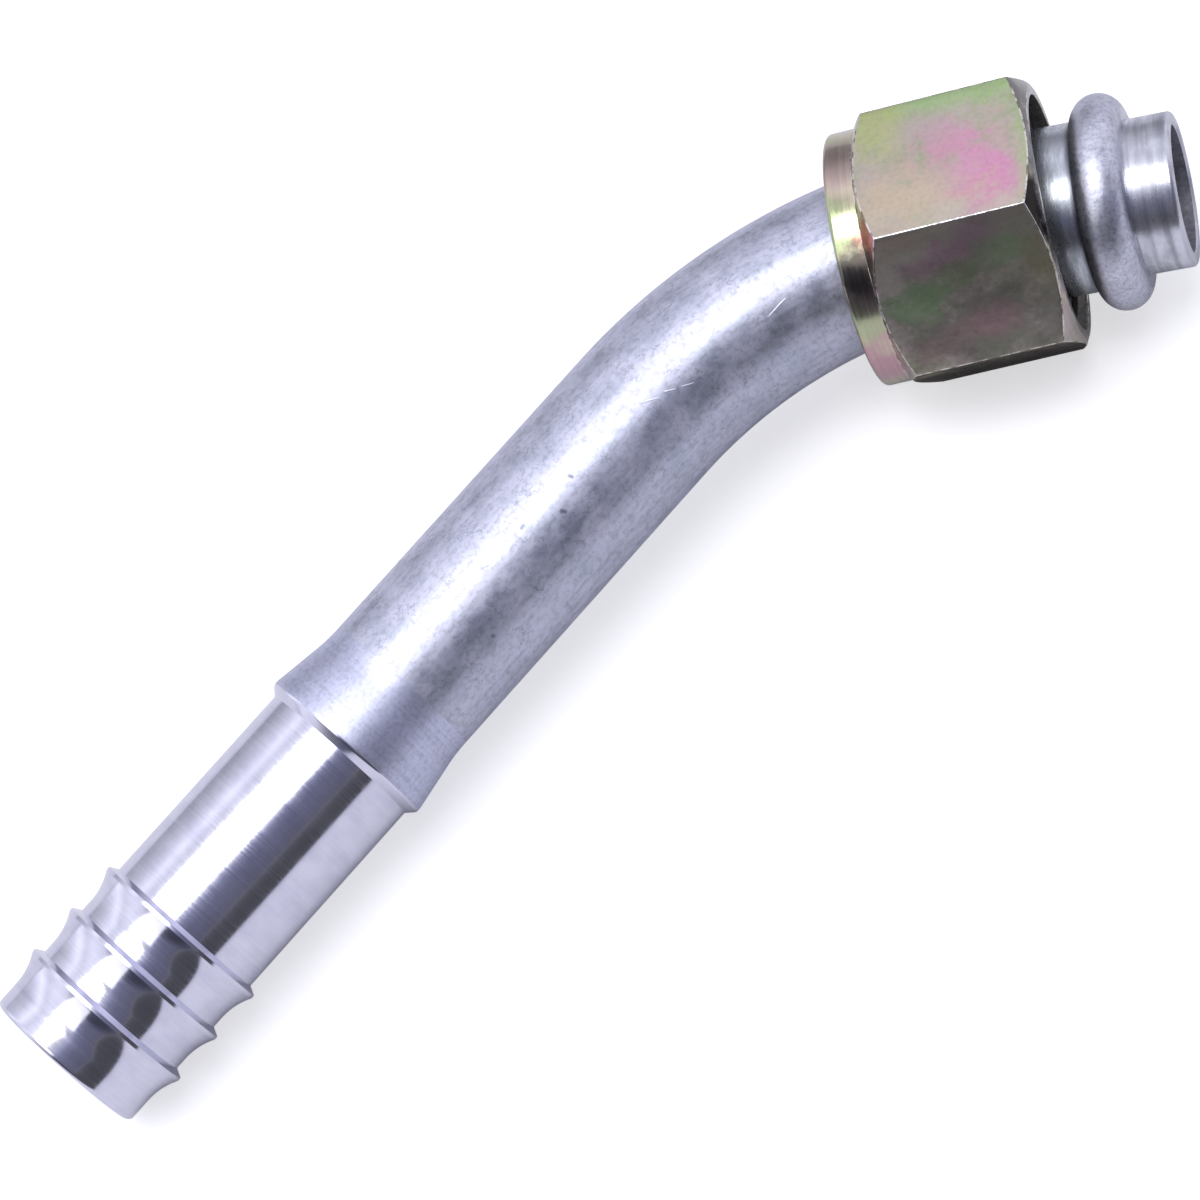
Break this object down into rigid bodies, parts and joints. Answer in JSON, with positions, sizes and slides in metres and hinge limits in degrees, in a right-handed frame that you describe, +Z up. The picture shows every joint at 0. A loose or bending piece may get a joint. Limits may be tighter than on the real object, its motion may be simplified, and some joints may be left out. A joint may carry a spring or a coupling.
{
  "type": "air conditioning hose fitting",
  "caption": "Bent aluminium air conditioning hose fitting with a barbed hose stem, a shoulder, an upset bead and pilot, and a captive plated hex swivel nut.",
  "frame": {"origin": "middle of the upset bead, on the axis of the straight end", "axes": "+X along the straight end, towards the pilot's mouth; +Z up, with a flat of the nut and the first barb on a level surface at z = -12.35 mm; the hose stem runs to -X and -Y"},
  "size_m": [0.1146, 0.09, 0.0248],
  "materials": {
    "tube_aluminium": "satin drawn tube, with a bright turned hose stem",
    "nut_plated_steel": "zinc plated with an iridescent yellow passivation"
  },
  "bodies": {
    "tube": {"fitting_tube": "tube_aluminium"},
    "nut": {"swivel_nut": "nut_plated_steel"}
  },
  "joints": [
    {"name": "nut_swivel", "type": "hinge", "parent": "tube", "child": "nut", "pos_m": [-0.01462, -0.0006, 0], "axis": [0.9981, 0.0617, 0], "continuous": true}
  ]
}
